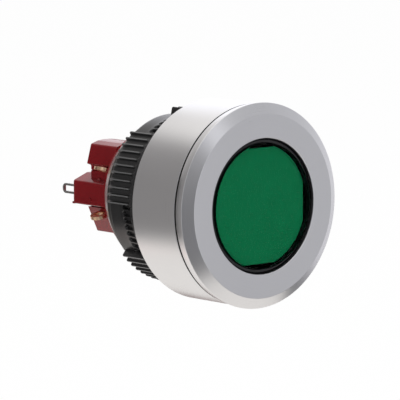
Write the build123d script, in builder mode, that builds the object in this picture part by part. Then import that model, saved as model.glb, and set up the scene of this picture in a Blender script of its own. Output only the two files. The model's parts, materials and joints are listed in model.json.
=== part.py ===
from build123d import *
import math
import os

# Flush illuminated push button for a 22.5 mm panel hole.
# Millimetres. The button's axis is Y: its face looks along -Y and its switch block
# lies at +Y, +X is to the right as seen from the front and +Z is up. The origin is
# on the axis, in the bezel's rear face, where the panel's front lies.

os.makedirs("parts", exist_ok=True)

# ---------------------------------------------------------------- driving sizes
travel = 3.0            # of the button, and so of its contacts

# clearances
running_gap = 0.05      # radial gap of a sliding guide
seat_gap = 0.02         # radial gap of a part pushed home and left there
soft_gap = 0.3          # room left round rubber
end_gap = 0.1           # what is left at a stop, at full travel
contact_gap = 0.05      # between two faces that meet at rest or at full travel
edge_break = 0.15       # of turned edges
cut_past = 1.0          # how far a cut runs on past the face that it opens

# threaded sleeve
thread_radius = 11.0
thread_depth = 0.55
thread_pitch = 1.0
thread_crest = 0.4      # flat left on each thread crest
thread_start = 1.4      # behind the panel's front
lead_in_length = 2.1    # taper at the sleeve's end
lead_in_height = 1.35
sleeve_front_wall = 1.05    # round the button
sleeve_rear_wall = 1.7      # round the switch block
sleeve_flange_thickness = 2.0
block_flange_drop = 1.4     # of the switch block's flange, below the thread
guide_step = 1.45       # from the front bore down to the guide bore
guide_length = 6.6
key_width = 1.0
key_height = 0.6

# nut, pressure ring and gasket
nut_length = 6.9
nut_wall = 0.95
nut_collar_length = 1.3
nut_rear_chamfer = 0.25
rib_height = 1.09
rib_groove_floor = 0.35     # of the lobes, above the nut's body
rib_footing = 0.3       # how far the ribs reach into the nut's body
rib_root_width = 0.75
rib_tip_width = 0.4
rib_rear_step = 0.85    # from the ends of the long ribs to the nut's rear face
short_rib_length = 3.3
rib_count = 72
lobe_count = 4
ribs_per_lobe = 10
first_lobe_angle = 66.5     # middle of the first lobe, from +X towards +Z
collar_drop = 0.09      # of the nut's collar below the rib tips
pressure_ring_thickness = 0.8
gasket_stand_out = 1.0  # past the bezel's rear face
gasket_recess_depth = 0.5
gasket_side_gap = 0.15  # round the gasket in its recess
gasket_rim_gap = 0.11   # from the rib tips to the rim of the gasket's recess

# bezel
bezel_height = 12.05    # from the panel's front to the button's face
seat_width = 1.65       # rim of the bezel that rests on the panel
bezel_wall = 1.4
groove_width = 0.3      # shadow line between front ring and body
groove_depth = 0.45
ring_overhang = 0.25    # of the front ring past the body
ring_height = 2.44
ring_bevel_width = 1.62
ring_bevel_depth = 0.96
ring_hole_gap = 0.15    # round the button
spigot_length = 2.0     # of the front ring, inside the body
spigot_wall = 1.0
flange_gap = 0.21       # between the spigot and the sleeve's flange
flange_rim_gap = 0.5    # round the sleeve's flange
seal_thickness = 1.6

# button
carrier_gap = 0.2       # to the sleeve's front bore
carrier_wall = 0.45
carrier_recess = 0.5    # its front edge lies this far behind the ring's face
carrier_floor_thickness = 1.2
lens_gap = 0.1
lens_proud = 0.05       # past the front ring's face
lens_thickness = 1.1
lens_leg_width = 5.4
colour_plate_gap = 0.25
colour_plate_flat_depth = 0.55
colour_plate_thickness = 0.8
diffuser_gap = 0.2
diffuser_height = 1.8
diffuser_thickness = 0.8
diffuser_wall = 0.7
guide_tube_wall = 1.55
pusher_thickness = 1.2
hook_height = 0.4
hook_width = 4.0
hook_length = 0.9
hook_slot_width = 0.8
finger_length = 5.6

# springs
return_spring_wire = 0.4
return_spring_turns = 7
contact_spring_turns = 8

# switch block, along Y
block_clearance = 0.4   # left in front of the block with the button pressed
block_wall = 1.4        # front wall, which guides the actuators
block_spigot_length = 5.35  # the part of the block inside the sleeve
block_flange_thickness = 0.3
block_length = 6.3      # of its upper and lower parts, behind the sleeve
middle_length = 9.55    # behind the sleeve
cover_rear_wall = 0.8
upper_side_wall = 1.0
upper_roof = 0.6
lower_side_wall = 0.5
lower_floor = 1.05
corner_radius = 0.5     # upright rear corners of the middle part
foot_height = 0.3       # square-cornered foot under those corners
edge_radius = 0.3       # other outer edges of the mouldings
pip_radius = 0.3        # ejector marks on the sides of the middle part
pip_height = 0.12
pip_setback = 0.9       # in front of the block's rear
rest_nose_radius = 0.35     # small nose on the middle part's shoulder
rest_nose_setback = 2.0
nose_height = 0.3       # snaps into the sleeve
nose_width = 3.0
nose_length = 0.9
nose_setback = 0.85     # from the sleeve's end

# contacts, along Y
crossbar_thickness = 1.0
stem_shoulder_length = 0.7
stem_length = 1.0       # behind the contact bridge
bridge_thickness = 0.4
moving_contact_height = 0.25
fixed_contact_height = 0.4
spring_post_gap = 0.75  # from the pressed stem to the post behind it

# terminals
terminal_thickness = 0.5
terminal_strip_width = 2.2
tab_width = 1.9
tab_overlap = 0.15      # of each tab with its strip
lug_radius = 1.35
lug_hole_radius = 0.65
lug_reach = 1.1         # from the bend to the middle of the lug's hole
lug_tilt = 17.0         # each lug leans away from the block's middle
upper_lug_shift = 0.0   # middle of the lug from the front of its tab
lower_lug_shift = 0.9
lower_strip_drop = 0.9  # of the lower strips' underside below the core

# lamp, along Y
lamp_holder_lip = 1.0   # in front of the lamp's base
lamp_base_length = 7.0
lamp_dome_length = 3.4
lamp_strip_thickness = 0.4
lamp_crossing_setback = 1.15    # of the strip's crossing, behind the sleeve's end
lamp_lug_length = 3.9
lamp_slot_length = 2.6
lamp_slot_rim = 0.32
lamp_tip_flat = 0.05    # left on each side of the rounded tip's middle

# ---------------------------------------------------------------- derived radii
nut_bore = thread_radius + running_gap
nut_body_radius = thread_radius + nut_wall
rib_root_radius = nut_body_radius + rib_groove_floor
rib_tip_radius = nut_body_radius + rib_height
nut_collar_radius = rib_tip_radius - collar_drop
pressure_ring_radius = nut_collar_radius - end_gap
gasket_recess_radius = rib_tip_radius + gasket_rim_gap
bezel_radius = gasket_recess_radius + seat_width
ring_radius = bezel_radius + ring_overhang
ring_flat_radius = ring_radius - ring_bevel_width
spigot_radius = bezel_radius - bezel_wall
sleeve_flange_radius = spigot_radius - flange_rim_gap
sleeve_front_bore = thread_radius - sleeve_front_wall
sleeve_rear_bore = thread_radius - sleeve_rear_wall
block_spigot_radius = sleeve_rear_bore - running_gap
block_flange_radius = thread_radius - block_flange_drop
guide_radius = sleeve_front_bore - guide_step
guide_tube_radius = guide_radius - running_gap
guide_tube_inner = guide_tube_radius - guide_tube_wall
hook_radius = guide_radius + hook_height
carrier_radius = sleeve_front_bore - carrier_gap
carrier_inner_radius = carrier_radius - carrier_wall
ring_hole_radius = carrier_radius + ring_hole_gap
lens_radius = carrier_inner_radius - lens_gap
colour_plate_radius = carrier_inner_radius - colour_plate_gap
colour_plate_flat = colour_plate_radius - colour_plate_flat_depth
diffuser_radius = colour_plate_flat - diffuser_gap

# ---------------------------------------------------------------- switch block, across
# The block, its contacts, the lamp and the return spring fill the sleeve's rear bore,
# so these sizes are laid out for one bore and grow or shrink with the real one.
laid_out_bore = 9.3
scale = sleeve_rear_bore / laid_out_bore

middle_half_width = 8.0 * scale
middle_bottom = -2.1 * scale
middle_edge_top = 1.4 * scale
middle_crown_half_width = 5.4 * scale
middle_crown = 2.4 * scale
core_half_width = 7.0 * scale
core_top = 3.1 * scale          # joint between base and upper cover
core_bottom = -2.3 * scale      # joint between base and lower cover
upper_top = 7.1 * scale
upper_shoulder = 7.5 * scale
upper_crown = 7.62 * scale
upper_valley = 7.0 * scale      # between the two arches of the upper cover
upper_top_half_width = 7.0 * scale
upper_shoulder_half_width = 5.7 * scale
upper_crown_x = 3.9 * scale
upper_valley_half_width = 0.4 * scale
upper_step = 4.2 * scale
upper_step_foot = 3.9 * scale
upper_step_half_width = 7.8 * scale
lower_bottom = -6.15 * scale
lower_top_half_width = 7.6 * scale
lower_bottom_half_width = 5.8 * scale
pip_z = -1.2 * scale

actuator_pin_x = 4.2 * scale
actuator_pin_z = 4.4 * scale
actuator_pin_radius = 0.6 * scale
stem_radius = 0.7 * scale
stem_shoulder_radius = 1.0 * scale
upper_stem_z = 4.9 * scale
lower_stem_z = -3.75 * scale
bridge_half_height = 0.7 * scale
bridge_eye_radius = 1.2 * scale
contact_x = 4.3 * scale
contact_radius = 0.65 * scale
tab_half_height = 0.75 * scale
contact_spring_radius = 1.15 * scale
contact_spring_wire = 0.26 * scale

return_spring_radius = 4.9 * scale
lamp_base_radius = 2.9 * scale
lamp_dome_radius = 2.4 * scale
lamp_strip_x = 1.3 * scale
lamp_strip_half_height = 0.75 * scale
lamp_strip_z = -0.2 * scale
lamp_lug_x = 6.3 * scale

pusher_inner_radius = return_spring_radius + return_spring_wire / 2 + soft_gap
carrier_light_hole = return_spring_radius - return_spring_wire / 2 - end_gap
lamp_holder_radius = carrier_light_hole - end_gap

# ---------------------------------------------------------------- derived places along Y
face_y = -bezel_height
ring_rear = face_y + ring_height
spigot_rear = ring_rear + spigot_length
sleeve_flange_front = spigot_rear + flange_gap
sleeve_flange_rear = sleeve_flange_front + sleeve_flange_thickness
lens_front = face_y - lens_proud
lens_rear = lens_front + lens_thickness
colour_plate_rear = lens_rear + colour_plate_thickness
carrier_front = face_y + carrier_recess
carrier_floor_front = colour_plate_rear + diffuser_height
carrier_shoulder = carrier_floor_front + carrier_floor_thickness
sleeve_shoulder = carrier_shoulder + travel + end_gap
guide_rear = sleeve_shoulder + guide_length
hook_front = guide_rear + end_gap
guide_tube_rear = hook_front + hook_length + end_gap
pressure_ring_front = gasket_stand_out
nut_front = pressure_ring_front + pressure_ring_thickness
nut_collar_rear = nut_front + nut_collar_length
nut_rear = nut_front + nut_length
rib_rear = nut_rear - rib_rear_step
short_rib_rear = nut_collar_rear + short_rib_length
block_front = guide_tube_rear + travel + block_clearance
block_wall_rear = block_front + block_wall
sleeve_end = block_front + block_spigot_length
cover_front = sleeve_end + block_flange_thickness
block_rear = sleeve_end + block_length
chamber_rear = block_rear - cover_rear_wall
middle_rear = sleeve_end + middle_length
nose_front = sleeve_end - nose_setback - nose_length
crossbar_front = block_wall_rear + end_gap
crossbar_rear = crossbar_front + crossbar_thickness
stem_shoulder_rear = crossbar_rear + stem_shoulder_length
bridge_rear = stem_shoulder_rear + bridge_thickness
stem_rear = bridge_rear + stem_length
moving_contact_rear = bridge_rear + moving_contact_height
fixed_contact_front = moving_contact_rear + travel + contact_gap
tab_front = fixed_contact_front + fixed_contact_height
upper_lug_y = tab_front + upper_lug_shift
lower_lug_y = tab_front + lower_lug_shift
lamp_base_rear = block_front - end_gap
lamp_base_front = lamp_base_rear - lamp_base_length
lamp_dome_front = lamp_base_front - lamp_dome_length
lamp_holder_front = lamp_base_front - lamp_holder_lip
lamp_crossing_y = sleeve_end + lamp_crossing_setback
lamp_lug_rear = middle_rear + lamp_lug_length
spring_post_front = stem_rear + travel + spring_post_gap

# ---------------------------------------------------------------- derived sizes across
rib_pitch = 360 / rib_count
ribs_per_recess = rib_count // lobe_count - ribs_per_lobe
contact_outer_x = contact_x + contact_radius
bridge_half_length = contact_outer_x
strip_inner_x = contact_outer_x + 2 * contact_gap
tab_outer_x = strip_inner_x + tab_overlap
tab_inner_x = tab_outer_x - tab_width
upper_chamber_half_width = upper_top_half_width - upper_side_wall
upper_chamber_top = upper_top - upper_roof
lower_chamber_half_width = lower_bottom_half_width - lower_side_wall
lower_chamber_bottom = lower_bottom + lower_floor
upper_strip_bottom = core_top
lower_strip_bottom = core_bottom - lower_strip_drop


# ---------------------------------------------------------------- helpers
def across(y):
    """Plane across the axis at y, as seen from the front: local x is +X, local y is +Z."""
    return Plane((0, y, 0), x_dir=(1, 0, 0), z_dir=(0, -1, 0))


def outline(points, plane=Plane.XY):
    """Closed outline through the points, as a sketch on the plane."""
    with BuildSketch(plane) as shape:
        with BuildLine():
            Polyline(*points, close=True)
        make_face()
    return shape.sketch


def turned(points, mode=Mode.ADD):
    """Turn a closed outline of (radius, y) points about the axis."""
    revolve(outline(points), axis=Axis.Y, mode=mode)


def ring_between(inner, outer, front, rear, mode=Mode.ADD):
    """Plain ring about the axis, or a disc where inner is 0."""
    turned([(inner, front), (outer, front), (outer, rear), (inner, rear)], mode)


def block(x_range, y_range, z_range, mode=Mode.ADD):
    """Box between three pairs of limits."""
    size = [high - low for low, high in (x_range, y_range, z_range)]
    middle = [(low + high) / 2 for low, high in (x_range, y_range, z_range)]
    with Locations(tuple(middle)):
        Box(*size, mode=mode)


def rod(x, z, radius, front, rear, mode=Mode.ADD):
    """Round bar along Y."""
    with BuildSketch(across(front)) as end:
        with Locations((x, z)):
            Circle(radius)
    extrude(end.sketch, amount=front - rear, mode=mode)


def mirrored(points):
    """A left-hand half outline followed by its mirror image, as one closed outline."""
    return points + [(-x, z) for x, z in reversed(points)]


def prism(points, front, rear, mode=Mode.ADD):
    """Closed outline of (x, z) points carried along Y."""
    extrude(outline(points, across(front)), amount=front - rear, mode=mode)


def coil(x, z, radius, wire, turns, front, rear):
    """Open compression spring whose wire stays between front and rear."""
    height = rear - front - wire
    path = Helix(height / turns, height, radius, center=(x, front + wire / 2, z), direction=(0, 1, 0))
    with BuildSketch(Plane(path @ 0, z_dir=path % 0)) as section:
        Circle(wire / 2)
    sweep(section.sketch, path=path, is_frenet=True)


def long_edges(part, x):
    """Edges along Y that lie at x to the left or right."""
    return part.edges().filter_by(Axis.Y).filter_by(lambda edge: abs(abs(edge.center().X) - x) < 0.01)


def finish(part, label):
    """Name a finished part and write it."""
    part.label = label
    export_step(part, f"parts/{label}.step")


# ---------------------------------------------------------------- bezel
# Bevelled front ring. Its spigot screws into the body.
with BuildPart() as front_ring:
    turned([
        (ring_hole_radius, face_y + edge_break),
        (ring_hole_radius + edge_break, face_y),
        (ring_flat_radius, face_y),
        (ring_radius, face_y + ring_bevel_depth),
        (ring_radius, ring_rear),
        (spigot_radius, ring_rear),
        (spigot_radius, spigot_rear),
        (spigot_radius - spigot_wall, spigot_rear),
        (spigot_radius - spigot_wall, ring_rear),
        (ring_hole_radius, ring_rear),
    ])
finish(front_ring.part, "front_ring")

# Body of the bezel. The flat rim of its rear face rests on the panel, round the
# recess that holds the gasket.
with BuildPart() as bezel_body:
    neck_radius = bezel_radius - groove_depth
    neck_rear = ring_rear + groove_width
    turned([
        (spigot_radius + seat_gap, ring_rear),
        (neck_radius, ring_rear),
        (neck_radius, neck_rear),
        (bezel_radius - edge_break, neck_rear),
        (bezel_radius, neck_rear + edge_break),
        (bezel_radius, -edge_break),
        (bezel_radius - edge_break, 0),
        (gasket_recess_radius, 0),
        (gasket_recess_radius, -gasket_recess_depth),
        (thread_radius + running_gap, -gasket_recess_depth),
        (thread_radius + running_gap, sleeve_flange_rear),
        (spigot_radius + seat_gap, sleeve_flange_rear),
    ])
finish(bezel_body.part, "bezel_body")

# Threaded sleeve. The bezel clamps its flange, the button slides in its front and
# the switch block is pushed into its rear.
with BuildPart() as threaded_sleeve:
    thread_root_radius = thread_radius - thread_depth
    thread_flank = (thread_pitch - thread_crest) / 2
    thread_points = [(thread_radius, sleeve_flange_rear), (thread_radius, thread_start)]
    groove = thread_start
    while groove + thread_pitch < sleeve_end - lead_in_length:
        thread_points += [
            (thread_root_radius, groove + thread_flank),
            (thread_radius, groove + 2 * thread_flank),
            (thread_radius, groove + thread_pitch),
        ]
        groove += thread_pitch
    turned([
        (sleeve_front_bore, sleeve_flange_front),
        (sleeve_flange_radius, sleeve_flange_front),
        (sleeve_flange_radius, sleeve_flange_rear),
        *thread_points,
        (thread_radius, sleeve_end - lead_in_length),
        (thread_radius - lead_in_height, sleeve_end),
        (sleeve_rear_bore, sleeve_end),
        (sleeve_rear_bore, guide_rear),
        (guide_radius, guide_rear),
        (guide_radius, sleeve_shoulder),
        (sleeve_front_bore, sleeve_shoulder),
    ])
    # groove for the switch block's noses
    ring_between(sleeve_rear_bore, sleeve_rear_bore + nose_height,
                 nose_front - end_gap, nose_front + nose_length + end_gap, Mode.SUBTRACT)
    # two keys that stop the button from turning
    for side in (-1, 1):
        block(sorted((side * (guide_radius - key_height), side * (guide_radius + key_height))),
              (sleeve_shoulder, guide_rear), (-key_width / 2, key_width / 2))
finish(threaded_sleeve.part, "threaded_sleeve")

# Rubber ring round the button, held between sleeve and front ring.
with BuildPart() as button_seal:
    ring_between(carrier_radius + soft_gap, spigot_radius - spigot_wall - end_gap,
                 sleeve_flange_front - seal_thickness, sleeve_flange_front)
finish(button_seal.part, "button_seal")

# ---------------------------------------------------------------- gasket and nut
with BuildPart() as panel_gasket:
    ring_between(thread_radius + soft_gap, gasket_recess_radius - gasket_side_gap,
                 -gasket_recess_depth, gasket_stand_out)
finish(panel_gasket.part, "panel_gasket")

with BuildPart() as pressure_ring:
    ring_between(nut_bore, pressure_ring_radius, pressure_ring_front, nut_front)
finish(pressure_ring.part, "pressure_ring")


def ribs(count, starts, root, front, rear):
    """Tapered ribs on the nut's body: count of them from each start angle on."""
    tooth = [(root, -rib_root_width / 2), (rib_tip_radius, -rib_tip_width / 2),
             (rib_tip_radius, rib_tip_width / 2), (root, rib_root_width / 2)]
    with BuildSketch(across(front)) as teeth:
        for start in starts:
            with PolarLocations(0, count, start, rib_pitch * count):
                Polygon(*tooth, align=None)
    extrude(teeth.sketch, amount=front - rear)


# Lock nut: a collar in front, then long ribs on four raised lobes and short ones,
# sloping down to the body, in the four recesses between the lobes.
with BuildPart() as lock_nut:
    lobe_step = 360 / lobe_count
    lobe_starts = [first_lobe_angle - rib_pitch * (ribs_per_lobe - 1) / 2 + lobe_step * i
                   for i in range(lobe_count)]
    recess_starts = [start + rib_pitch * ribs_per_lobe for start in lobe_starts]
    rib_foot = nut_body_radius - rib_footing
    ribs(ribs_per_recess, recess_starts, rib_foot, nut_collar_rear, short_rib_rear)
    turned([
        (rib_tip_radius, nut_collar_rear),
        (2 * rib_tip_radius, nut_collar_rear),
        (2 * rib_tip_radius, nut_rear),
        (nut_body_radius, nut_rear),
        (nut_body_radius, short_rib_rear),
    ], Mode.SUBTRACT)
    ribs(ribs_per_lobe, lobe_starts, rib_foot, nut_collar_rear, rib_rear)
    with BuildSketch(across(nut_collar_rear)) as lobes:
        for start in lobe_starts:
            first_edge = math.radians(start - rib_pitch / 2)
            span = math.radians(rib_pitch * ribs_per_lobe)
            corners = [(rib_root_radius * math.cos(first_edge + span * i / ribs_per_lobe),
                        rib_root_radius * math.sin(first_edge + span * i / ribs_per_lobe))
                       for i in range(ribs_per_lobe + 1)]
            Polygon((0, 0), *corners, align=None)
    extrude(lobes.sketch, amount=nut_collar_rear - rib_rear)
    turned([
        (0, nut_front),
        (nut_collar_radius - edge_break, nut_front),
        (nut_collar_radius, nut_front + edge_break),
        (nut_collar_radius, nut_collar_rear),
        (nut_body_radius, nut_collar_rear),
        (nut_body_radius, nut_rear - nut_rear_chamfer),
        (nut_body_radius - nut_rear_chamfer, nut_rear),
        (0, nut_rear),
    ])
    ring_between(0, nut_bore, nut_front, nut_rear, Mode.SUBTRACT)
finish(lock_nut.part, "lock_nut")

# ---------------------------------------------------------------- button
# Clear cap with four legs that snap into the carrier beside the colour plate.
with BuildPart() as lens_cap:
    leg_inner = colour_plate_flat + running_gap
    turned([
        (0, lens_front),
        (lens_radius - 2 * edge_break, lens_front),
        (lens_radius, lens_front + 2 * edge_break),
        (lens_radius, lens_rear),
        (0, lens_rear),
    ])
    with BuildSketch(across(lens_rear)) as legs:
        Circle(carrier_inner_radius - edge_break)
        Rectangle(2 * leg_inner, 2 * leg_inner, mode=Mode.SUBTRACT)
        with BuildSketch(mode=Mode.INTERSECT):
            Rectangle(2 * lens_radius, lens_leg_width)
            Rectangle(lens_leg_width, 2 * lens_radius)
    extrude(legs.sketch, amount=lens_rear - carrier_floor_front)
finish(lens_cap.part, "lens_cap")

with BuildPart() as colour_plate:
    with BuildSketch(across(lens_rear)) as plate:
        Circle(colour_plate_radius)
        Rectangle(2 * colour_plate_flat, 2 * colour_plate_flat, mode=Mode.INTERSECT)
    extrude(plate.sketch, amount=lens_rear - colour_plate_rear)
finish(colour_plate.part, "colour_plate")

# White cup that spreads the lamp's light over the colour plate.
with BuildPart() as diffuser:
    turned([
        (0, colour_plate_rear),
        (diffuser_radius, colour_plate_rear),
        (diffuser_radius, carrier_floor_front),
        (diffuser_radius - diffuser_wall, carrier_floor_front),
        (diffuser_radius - diffuser_wall, colour_plate_rear + diffuser_thickness),
        (0, colour_plate_rear + diffuser_thickness),
    ])
finish(diffuser.part, "diffuser")

# Carrier: a cup that holds the lens, and behind it the guide tube with the flange
# that pushes both actuators and two sprung fingers that hook behind the guide bore.
with BuildPart() as button_carrier:
    turned([
        (carrier_inner_radius, carrier_front),
        (carrier_radius - edge_break, carrier_front),
        (carrier_radius, carrier_front + edge_break),
        (carrier_radius, carrier_shoulder),
        (guide_tube_radius, carrier_shoulder),
        (guide_tube_radius, guide_tube_rear),
        (pusher_inner_radius, guide_tube_rear),
        (pusher_inner_radius, guide_tube_rear - pusher_thickness),
        (guide_tube_inner, guide_tube_rear - pusher_thickness),
        (guide_tube_inner, carrier_shoulder),
        (carrier_light_hole, carrier_shoulder),
        (carrier_light_hole, carrier_floor_front),
        (carrier_inner_radius, carrier_floor_front),
    ])
    # fingers and their hooks
    for side in (-1, 1):
        with BuildSketch(across(hook_front)) as hook:
            Circle(hook_radius)
            Circle(guide_tube_radius - end_gap, mode=Mode.SUBTRACT)
            with Locations((0, side * hook_radius)):
                Rectangle(hook_width, 2 * hook_length, mode=Mode.INTERSECT)
        extrude(hook.sketch, amount=-hook_length)
        for edge in (-1, 1):
            slot_x = edge * (hook_width + hook_slot_width) / 2
            block((slot_x - hook_slot_width / 2, slot_x + hook_slot_width / 2),
                  (guide_tube_rear - finger_length, guide_tube_rear - pusher_thickness),
                  sorted((side * (guide_tube_inner - cut_past), side * (guide_tube_radius + cut_past))),
                  Mode.SUBTRACT)
        # keyway
        block(sorted((side * (guide_radius - key_height - end_gap), side * (guide_radius + cut_past))),
              (carrier_shoulder, guide_tube_rear),
              (-key_width / 2 - running_gap, key_width / 2 + running_gap), Mode.SUBTRACT)
finish(button_carrier.part, "button_carrier")

with BuildPart() as return_spring:
    coil(0, 0, return_spring_radius, return_spring_wire, return_spring_turns, carrier_shoulder, block_front)
finish(return_spring.part, "return_spring")

# ---------------------------------------------------------------- switch block

stem_levels = {"upper": upper_stem_z, "lower": lower_stem_z}
strip_bottoms = {"upper": upper_strip_bottom, "lower": lower_strip_bottom}
lug_places = {"upper": upper_lug_y, "lower": lower_lug_y}
outward = {"upper": 1, "lower": -1}


def crossbar_heights(level):
    """Lower and upper limit of an actuator's crossbar."""
    stem_z = stem_levels[level]
    pin_z = outward[level] * actuator_pin_z
    return min(stem_z, pin_z) - actuator_pin_radius, max(stem_z, pin_z) + actuator_pin_radius


def spring_post(stem_z):
    """Post on a cover's rear wall that centres the contact spring."""
    post_radius = contact_spring_radius - contact_spring_wire
    rod(0, stem_z, post_radius, spring_post_front, chamber_rear)


def lamp_strip_boxes(side):
    """The three straight runs of a lamp terminal, as (x, y, z) limits."""
    z_range = (lamp_strip_z - lamp_strip_half_height, lamp_strip_z + lamp_strip_half_height)
    inner = sorted((side * lamp_strip_x, side * (lamp_strip_x + lamp_strip_thickness)))
    outer = sorted((side * lamp_lug_x, side * (lamp_lug_x + lamp_strip_thickness)))
    crossing = sorted((side * lamp_strip_x, side * (lamp_lug_x + lamp_strip_thickness)))
    return [
        (inner, (lamp_base_rear, lamp_crossing_y), z_range),
        (crossing, (lamp_crossing_y - lamp_strip_thickness, lamp_crossing_y), z_range),
        (outer, (lamp_crossing_y - lamp_strip_thickness, lamp_lug_rear), z_range),
    ]


# Base: a round spigot in the sleeve, the flange that stops on the sleeve's end, the
# core between the two contact chambers, and the middle part that runs on rearwards.
with BuildPart() as switch_base:
    ring_between(0, block_spigot_radius, block_front, sleeve_end)
    ring_between(0, block_flange_radius, sleeve_end, sleeve_end + block_flange_thickness)
    prism(mirrored([
        (-core_half_width, core_bottom),
        (-core_half_width, middle_bottom),
        (-middle_half_width, middle_bottom),
        (-middle_half_width, middle_edge_top),
        (-core_half_width, middle_edge_top + (middle_crown - middle_edge_top)
         * (middle_half_width - core_half_width) / (middle_half_width - middle_crown_half_width)),
        (-core_half_width, core_top),
    ]), sleeve_end, block_rear)
    prism(mirrored([
        (-middle_half_width, middle_bottom),
        (-middle_half_width, middle_edge_top),
        (-middle_crown_half_width, middle_crown),
    ]), block_rear, middle_rear)
    fillet(switch_base.edges().filter_by(Axis.Z).group_by(Axis.Y)[-1], corner_radius)
    fillet(long_edges(switch_base, middle_half_width), edge_radius)
    block((-middle_half_width, middle_half_width), (middle_rear - corner_radius, middle_rear),
          (middle_bottom, middle_bottom + foot_height))
    for side in (-1, 1):
        pip = Plane((side * middle_half_width, block_rear - pip_setback, pip_z), z_dir=(side, 0, 0))
        with BuildSketch(pip) as mark:
            Circle(pip_radius)
        extrude(mark.sketch, amount=pip_height)
        with Locations((side * core_half_width, block_rear - rest_nose_setback,
                        middle_edge_top + rest_nose_radius)):
            Sphere(rest_nose_radius)
    # noses that hold it in the sleeve
    for side in (-1, 1):
        with BuildSketch(across(nose_front)) as nose:
            Circle(block_spigot_radius + nose_height - end_gap)
            Circle(block_spigot_radius - nose_height, mode=Mode.SUBTRACT)
            with Locations((side * sleeve_rear_bore, 0)):
                Rectangle(sleeve_rear_bore / 4, nose_width, mode=Mode.INTERSECT)
        extrude(nose.sketch, amount=-nose_length)
    # lamp holder's seat, the actuators' room and their guide holes
    ring_between(0, lamp_holder_radius + seat_gap, block_front, block_wall_rear, Mode.SUBTRACT)
    block((-upper_chamber_half_width, upper_chamber_half_width), (block_wall_rear, cover_front),
          (core_top, upper_chamber_top), Mode.SUBTRACT)
    block((-lower_chamber_half_width, lower_chamber_half_width), (block_wall_rear, cover_front),
          (lower_chamber_bottom - end_gap, core_bottom), Mode.SUBTRACT)
    for x in (-actuator_pin_x, actuator_pin_x):
        for z in (-actuator_pin_z, actuator_pin_z):
            rod(x, z, actuator_pin_radius + running_gap, block_front, block_wall_rear, Mode.SUBTRACT)
    # the lamp terminals are moulded in
    for side in (-1, 1):
        for x_range, y_range, z_range in lamp_strip_boxes(side):
            block(x_range, y_range, z_range, Mode.SUBTRACT)
finish(switch_base.part, "switch_base")


def strip_slot(bottom, lug_y):
    """Room for both terminal strips of one contact chamber, through its side walls."""
    block((-middle_half_width, middle_half_width),
          (lug_y - terminal_strip_width / 2, lug_y + terminal_strip_width / 2),
          (bottom, bottom + terminal_thickness), Mode.SUBTRACT)


# Upper cover, with two shallow arches for its top.
with BuildPart() as upper_cover:
    with BuildSketch(across(cover_front)) as section:
        with BuildLine():
            Polyline((-upper_shoulder_half_width, upper_shoulder),
                     (-upper_top_half_width, upper_top), (-upper_step_half_width, upper_step),
                     (-core_half_width, upper_step_foot), (-core_half_width, core_top),
                     (core_half_width, core_top), (core_half_width, upper_step_foot),
                     (upper_step_half_width, upper_step), (upper_top_half_width, upper_top),
                     (upper_shoulder_half_width, upper_shoulder))
            ThreePointArc((upper_shoulder_half_width, upper_shoulder), (upper_crown_x, upper_crown),
                          (upper_valley_half_width, upper_valley))
            Line((upper_valley_half_width, upper_valley), (-upper_valley_half_width, upper_valley))
            ThreePointArc((-upper_valley_half_width, upper_valley), (-upper_crown_x, upper_crown),
                          (-upper_shoulder_half_width, upper_shoulder))
        make_face()
    extrude(section.sketch, amount=cover_front - block_rear)
    fillet(long_edges(upper_cover, upper_top_half_width), edge_radius)
    fillet(long_edges(upper_cover, upper_step_half_width), edge_radius / 2)
    block((-upper_chamber_half_width, upper_chamber_half_width), (cover_front, chamber_rear),
          (core_top, upper_chamber_top), Mode.SUBTRACT)
    strip_slot(upper_strip_bottom, upper_lug_y)
    spring_post(upper_stem_z)
finish(upper_cover.part, "upper_cover")

# Lower cover, with its sides drawn in towards the bottom.
with BuildPart() as lower_cover:
    prism(mirrored([
        (-lower_bottom_half_width, lower_bottom),
        (-lower_top_half_width, core_bottom),
    ]), cover_front, block_rear)
    fillet(long_edges(lower_cover, lower_bottom_half_width), edge_radius)
    block((-lower_chamber_half_width, lower_chamber_half_width), (cover_front, chamber_rear),
          (lower_chamber_bottom, core_bottom), Mode.SUBTRACT)
    strip_slot(lower_strip_bottom, lower_lug_y)
    spring_post(lower_stem_z)
finish(lower_cover.part, "lower_cover")

# ---------------------------------------------------------------- contacts
def make_actuator(level):
    """Two pins in front, a crossbar and a stem that carries the contact bridge."""
    stem_z = stem_levels[level]
    pin_z = outward[level] * actuator_pin_z
    with BuildPart() as actuator:
        for x in (-actuator_pin_x, actuator_pin_x):
            rod(x, pin_z, actuator_pin_radius, guide_tube_rear + contact_gap, crossbar_front)
        block((-actuator_pin_x - actuator_pin_radius, actuator_pin_x + actuator_pin_radius),
              (crossbar_front, crossbar_rear),
              crossbar_heights(level))
        rod(0, stem_z, stem_shoulder_radius, crossbar_rear, stem_shoulder_rear)
        rod(0, stem_z, stem_radius, stem_shoulder_rear, stem_rear)
    finish(actuator.part, f"{level}_actuator")


def make_bridge(level):
    """Contact bridge, a strip across the chamber with the stem through its middle."""
    stem_z = stem_levels[level]
    with BuildPart() as bridge:
        block((-bridge_half_length, bridge_half_length), (stem_shoulder_rear, bridge_rear),
              (stem_z - bridge_half_height, stem_z + bridge_half_height))
        with BuildSketch(across(stem_shoulder_rear)) as middle:
            with Locations((0, stem_z)):
                Circle(bridge_eye_radius)
        extrude(middle.sketch, amount=-bridge_thickness)
        rod(0, stem_z, stem_radius + running_gap, stem_shoulder_rear, bridge_rear, Mode.SUBTRACT)
    finish(bridge.part, f"{level}_contact_bridge")


def make_contact_pair(level, front, rear, label):
    """Two silver contacts, left and right."""
    with BuildPart() as pair:
        for x in (-contact_x, contact_x):
            rod(x, stem_levels[level], contact_radius, front, rear)
    finish(pair.part, f"{level}_{label}")


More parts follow.
